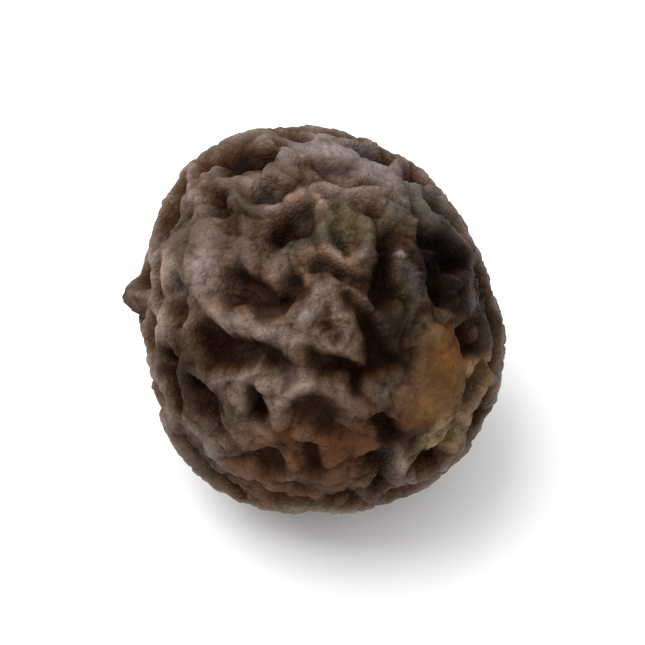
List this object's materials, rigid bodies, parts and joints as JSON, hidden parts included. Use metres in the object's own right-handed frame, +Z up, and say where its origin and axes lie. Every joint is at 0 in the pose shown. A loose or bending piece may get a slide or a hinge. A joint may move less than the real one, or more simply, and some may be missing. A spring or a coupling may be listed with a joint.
{
  "type": "dried peppercorn",
  "caption": "Dried whole peppercorn: a round berry covered by a raised net of wrinkles, with a small nub, a stem scar and a patch worn smooth.",
  "frame": {"origin": "on the surface it rests on, under the middle of the berry's body", "axes": "+Z up as it lies, -X towards the nub, -Y the side that the picture shows most"},
  "size_m": [0.0052, 0.0051, 0.0049],
  "materials": {
    "dried_skin": "dull, dusty dried plant skin: grey-brown on the ridges and near black in the hollows"
  },
  "bodies": {
    "root": {"peppercorn": "dried_skin"}
  },
  "joints": []
}
